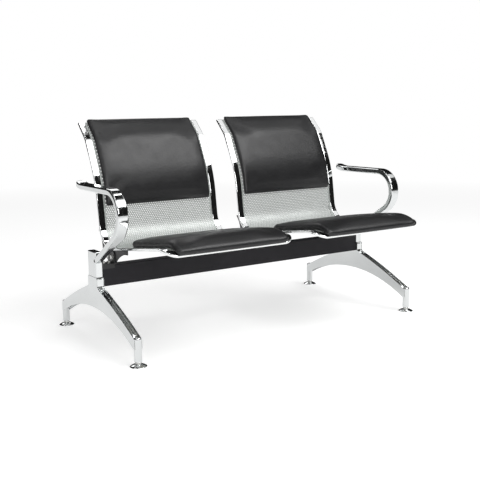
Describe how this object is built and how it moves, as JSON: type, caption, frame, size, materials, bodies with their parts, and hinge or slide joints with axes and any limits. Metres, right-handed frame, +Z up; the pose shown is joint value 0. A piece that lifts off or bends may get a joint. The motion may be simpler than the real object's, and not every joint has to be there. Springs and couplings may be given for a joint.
{
  "type": "beam seating",
  "caption": "Two-seat waiting-room bench: padded seats in chromed rims on a charcoal beam, with cast legs, looped armrests and levelling glides.",
  "frame": {"origin": "on the floor, under the middle of the whole bench", "axes": "+Z up, +X along the beam towards the sitters' left, +Y towards the back; sitters face -Y"},
  "size_m": [1.258, 0.7774, 0.7898],
  "materials": {
    "beam_paint": "satin charcoal powder coat on a steel tube",
    "chromed_casting": "die casting, polished and chrome plated",
    "chromed_rim": "polished chrome on steel",
    "sheet_finish": "silver grey coat on perforated steel",
    "black_bracket": "satin black powder coat on steel",
    "plated_steel": "bright zinc plated",
    "plywood": "raw plywood",
    "upholstery": "charcoal imitation leather over moulded foam",
    "glide_chrome": "polished chrome on pressed steel",
    "glide_sole": "moulded black plastic"
  },
  "bodies": {
    "frame": {"armrest_set_screws": "plated_steel", "beam_rivet_nuts": "plated_steel", "beam_tube": "beam_paint", "column_bolts": "plated_steel", "cradle_bolts": "plated_steel", "cradle_nuts": "plated_steel", "inner_saddle_bolts": "plated_steel", "left_armrest": "chromed_casting", "left_back_board": "plywood", "left_back_pad": "upholstery", "left_beam_saddle_inner": "black_bracket", "left_beam_saddle_outer": "black_bracket", "left_leg": "chromed_casting", "left_pad_screws": "plated_steel", "left_perforated_sheet": "sheet_finish", "left_seat_board": "plywood", "left_seat_cradle_inner": "black_bracket", "left_seat_cradle_outer": "black_bracket", "left_seat_pad": "upholstery", "left_seat_rim": "chromed_rim", "leg_tongue_screws": "plated_steel", "outer_saddle_bolts": "plated_steel", "right_armrest": "chromed_casting", "right_back_board": "plywood", "right_back_pad": "upholstery", "right_beam_saddle_inner": "black_bracket", "right_beam_saddle_outer": "black_bracket", "right_leg": "chromed_casting", "right_pad_screws": "plated_steel", "right_perforated_sheet": "sheet_finish", "right_seat_board": "plywood", "right_seat_cradle_inner": "black_bracket", "right_seat_cradle_outer": "black_bracket", "right_seat_pad": "upholstery", "right_seat_rim": "chromed_rim"},
    "glide_left_front": {"glide_stem_left_front": "plated_steel", "glide_disc_left_front": "glide_chrome", "glide_insert_left_front": "glide_sole"},
    "glide_left_rear": {"glide_stem_left_rear": "plated_steel", "glide_disc_left_rear": "glide_chrome", "glide_insert_left_rear": "glide_sole"},
    "glide_right_front": {"glide_stem_right_front": "plated_steel", "glide_disc_right_front": "glide_chrome", "glide_insert_right_front": "glide_sole"},
    "glide_right_rear": {"glide_stem_right_rear": "plated_steel", "glide_disc_right_rear": "glide_chrome", "glide_insert_right_rear": "glide_sole"}
  },
  "joints": [
    {"name": "glide_left_front_adjust", "type": "slide", "parent": "frame", "child": "glide_left_front", "axis": [0, 0, -1], "range_m": [0, 0.012]},
    {"name": "glide_left_rear_adjust", "type": "slide", "parent": "frame", "child": "glide_left_rear", "axis": [0, 0, -1], "range_m": [0, 0.012]},
    {"name": "glide_right_front_adjust", "type": "slide", "parent": "frame", "child": "glide_right_front", "axis": [0, 0, -1], "range_m": [0, 0.012]},
    {"name": "glide_right_rear_adjust", "type": "slide", "parent": "frame", "child": "glide_right_rear", "axis": [0, 0, -1], "range_m": [0, 0.012]}
  ]
}
